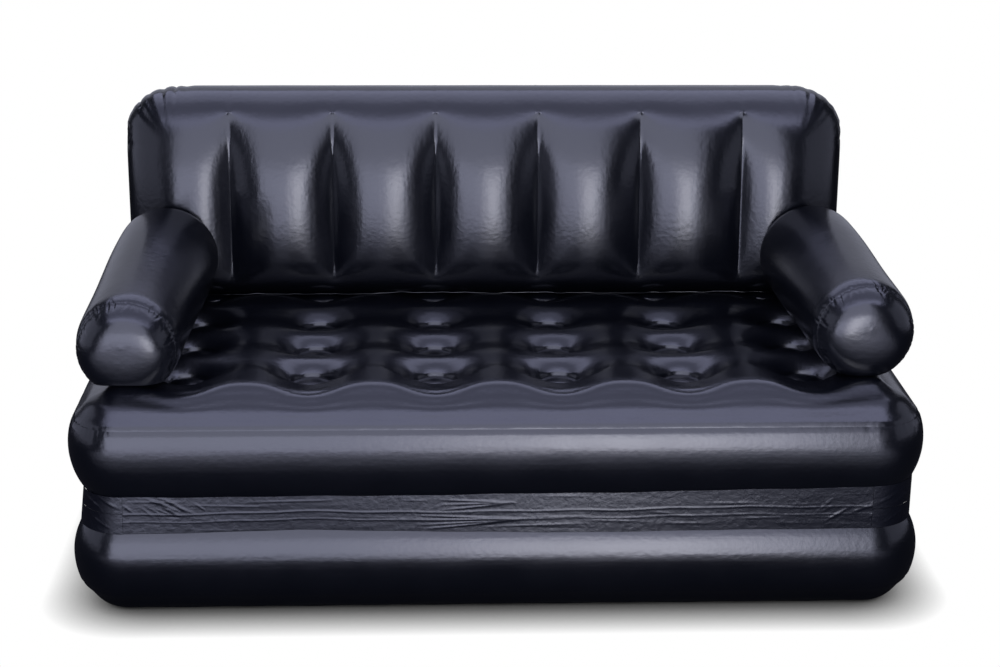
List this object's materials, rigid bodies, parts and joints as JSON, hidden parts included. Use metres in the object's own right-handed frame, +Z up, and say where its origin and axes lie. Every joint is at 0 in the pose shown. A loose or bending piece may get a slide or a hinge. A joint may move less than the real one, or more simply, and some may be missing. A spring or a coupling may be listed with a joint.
{
  "type": "inflatable sofa bed",
  "caption": "Black inflatable sofa that folds out into a double bed: stacked quilted air mattresses, channelled backrest, round arms, valves.",
  "frame": {"origin": "on the floor, under the middle of the overall box", "axes": "+X to the left of someone sitting on the sofa, -Y to the front, +Z up"},
  "size_m": [1.51, 0.9612, 0.8203],
  "materials": {
    "vinyl_film": "glossy soft vinyl film",
    "hinge_film": "creased vinyl film",
    "beam_film": "plain inner film",
    "valve_plastic": "moulded, satin",
    "flap_rubber": "matt"
  },
  "bodies": {
    "seat_section": {"seat_top_sheet": "vinyl_film", "seat_side_band": "vinyl_film", "seat_bottom_sheet": "vinyl_film", "seat_coil_row_1": "beam_film", "seat_coil_row_2": "beam_film", "seat_coil_row_3": "beam_film", "seat_coil_row_4": "beam_film", "hinge_strip_upper": "hinge_film", "back_front_sheet": "vinyl_film", "back_rear_sheet": "vinyl_film", "back_floor_sheet": "vinyl_film", "back_web_1": "beam_film", "back_web_2": "beam_film", "back_web_3": "beam_film", "back_web_4": "beam_film", "back_web_5": "beam_film", "back_web_6": "beam_film", "arm_left_tube": "vinyl_film", "arm_left_front_cap": "vinyl_film", "arm_left_rear_cap": "vinyl_film", "arm_right_tube": "vinyl_film", "arm_right_front_cap": "vinyl_film", "arm_right_rear_cap": "vinyl_film", "seat_valve_neck": "valve_plastic", "back_valve_neck": "valve_plastic"},
    "base_section": {"base_top_sheet": "vinyl_film", "base_side_band": "vinyl_film", "base_bottom_sheet": "vinyl_film", "base_coil_row_1": "beam_film", "base_coil_row_2": "beam_film", "base_coil_row_3": "beam_film", "base_coil_row_4": "beam_film", "hinge_strip_lower": "hinge_film", "base_valve_neck": "valve_plastic"},
    "seat_leash": {"seat_valve_leash": "valve_plastic"},
    "seat_cap": {"seat_valve_cap": "valve_plastic"},
    "seat_flap": {"seat_valve_flap": "flap_rubber"},
    "base_leash": {"base_valve_leash": "valve_plastic"},
    "base_cap": {"base_valve_cap": "valve_plastic"},
    "base_flap": {"base_valve_flap": "flap_rubber"},
    "back_leash": {"back_valve_leash": "valve_plastic"},
    "back_cap": {"back_valve_cap": "valve_plastic"},
    "back_flap": {"back_valve_flap": "flap_rubber"}
  },
  "joints": [
    {"name": "fold_out", "type": "hinge", "parent": "seat_section", "child": "base_section", "pos_m": [0, -0.4809, 0.20615], "axis": [-1, 0, 0], "range_deg": [0, 180]},
    {"name": "seat_cap_lift", "type": "slide", "parent": "seat_section", "child": "seat_leash", "axis": [0, 1, 0], "range_m": [0, 0.0121]},
    {"name": "seat_cap_turn", "type": "hinge", "parent": "seat_leash", "child": "seat_cap", "pos_m": [0.45, 0.4597, 0.30127], "axis": [0, 1, 0], "range_deg": [0, 1080]},
    {"name": "seat_flap_swing", "type": "hinge", "parent": "seat_section", "child": "seat_flap", "pos_m": [0.45, 0.4474, 0.31427], "axis": [-1, 0, 0], "range_deg": [0, 60]},
    {"name": "base_cap_lift", "type": "slide", "parent": "base_section", "child": "base_leash", "axis": [0, 1, 0], "range_m": [0, 0.0121]},
    {"name": "base_cap_turn", "type": "hinge", "parent": "base_leash", "child": "base_cap", "pos_m": [-0.45, 0.4597, 0.11103], "axis": [0, 1, 0], "range_deg": [0, 1080]},
    {"name": "base_flap_swing", "type": "hinge", "parent": "base_section", "child": "base_flap", "pos_m": [-0.45, 0.4474, 0.12403], "axis": [-1, 0, 0], "range_deg": [0, 60]},
    {"name": "back_cap_lift", "type": "slide", "parent": "seat_section", "child": "back_leash", "axis": [0, 1, 0], "range_m": [0, 0.0121]},
    {"name": "back_cap_turn", "type": "hinge", "parent": "back_leash", "child": "back_cap", "pos_m": [0.4, 0.3676, 0.56335], "axis": [0, 1, 0], "range_deg": [0, 1080]},
    {"name": "back_flap_swing", "type": "hinge", "parent": "seat_section", "child": "back_flap", "pos_m": [0.4, 0.3553, 0.57635], "axis": [-1, 0, 0], "range_deg": [0, 60]}
  ],
  "couplings": [
    {"joint": "seat_cap_lift", "follows": "seat_cap_turn", "m_per_rad": 0.00063662},
    {"joint": "base_cap_lift", "follows": "base_cap_turn", "m_per_rad": 0.00063662},
    {"joint": "back_cap_lift", "follows": "back_cap_turn", "m_per_rad": 0.00063662}
  ]
}
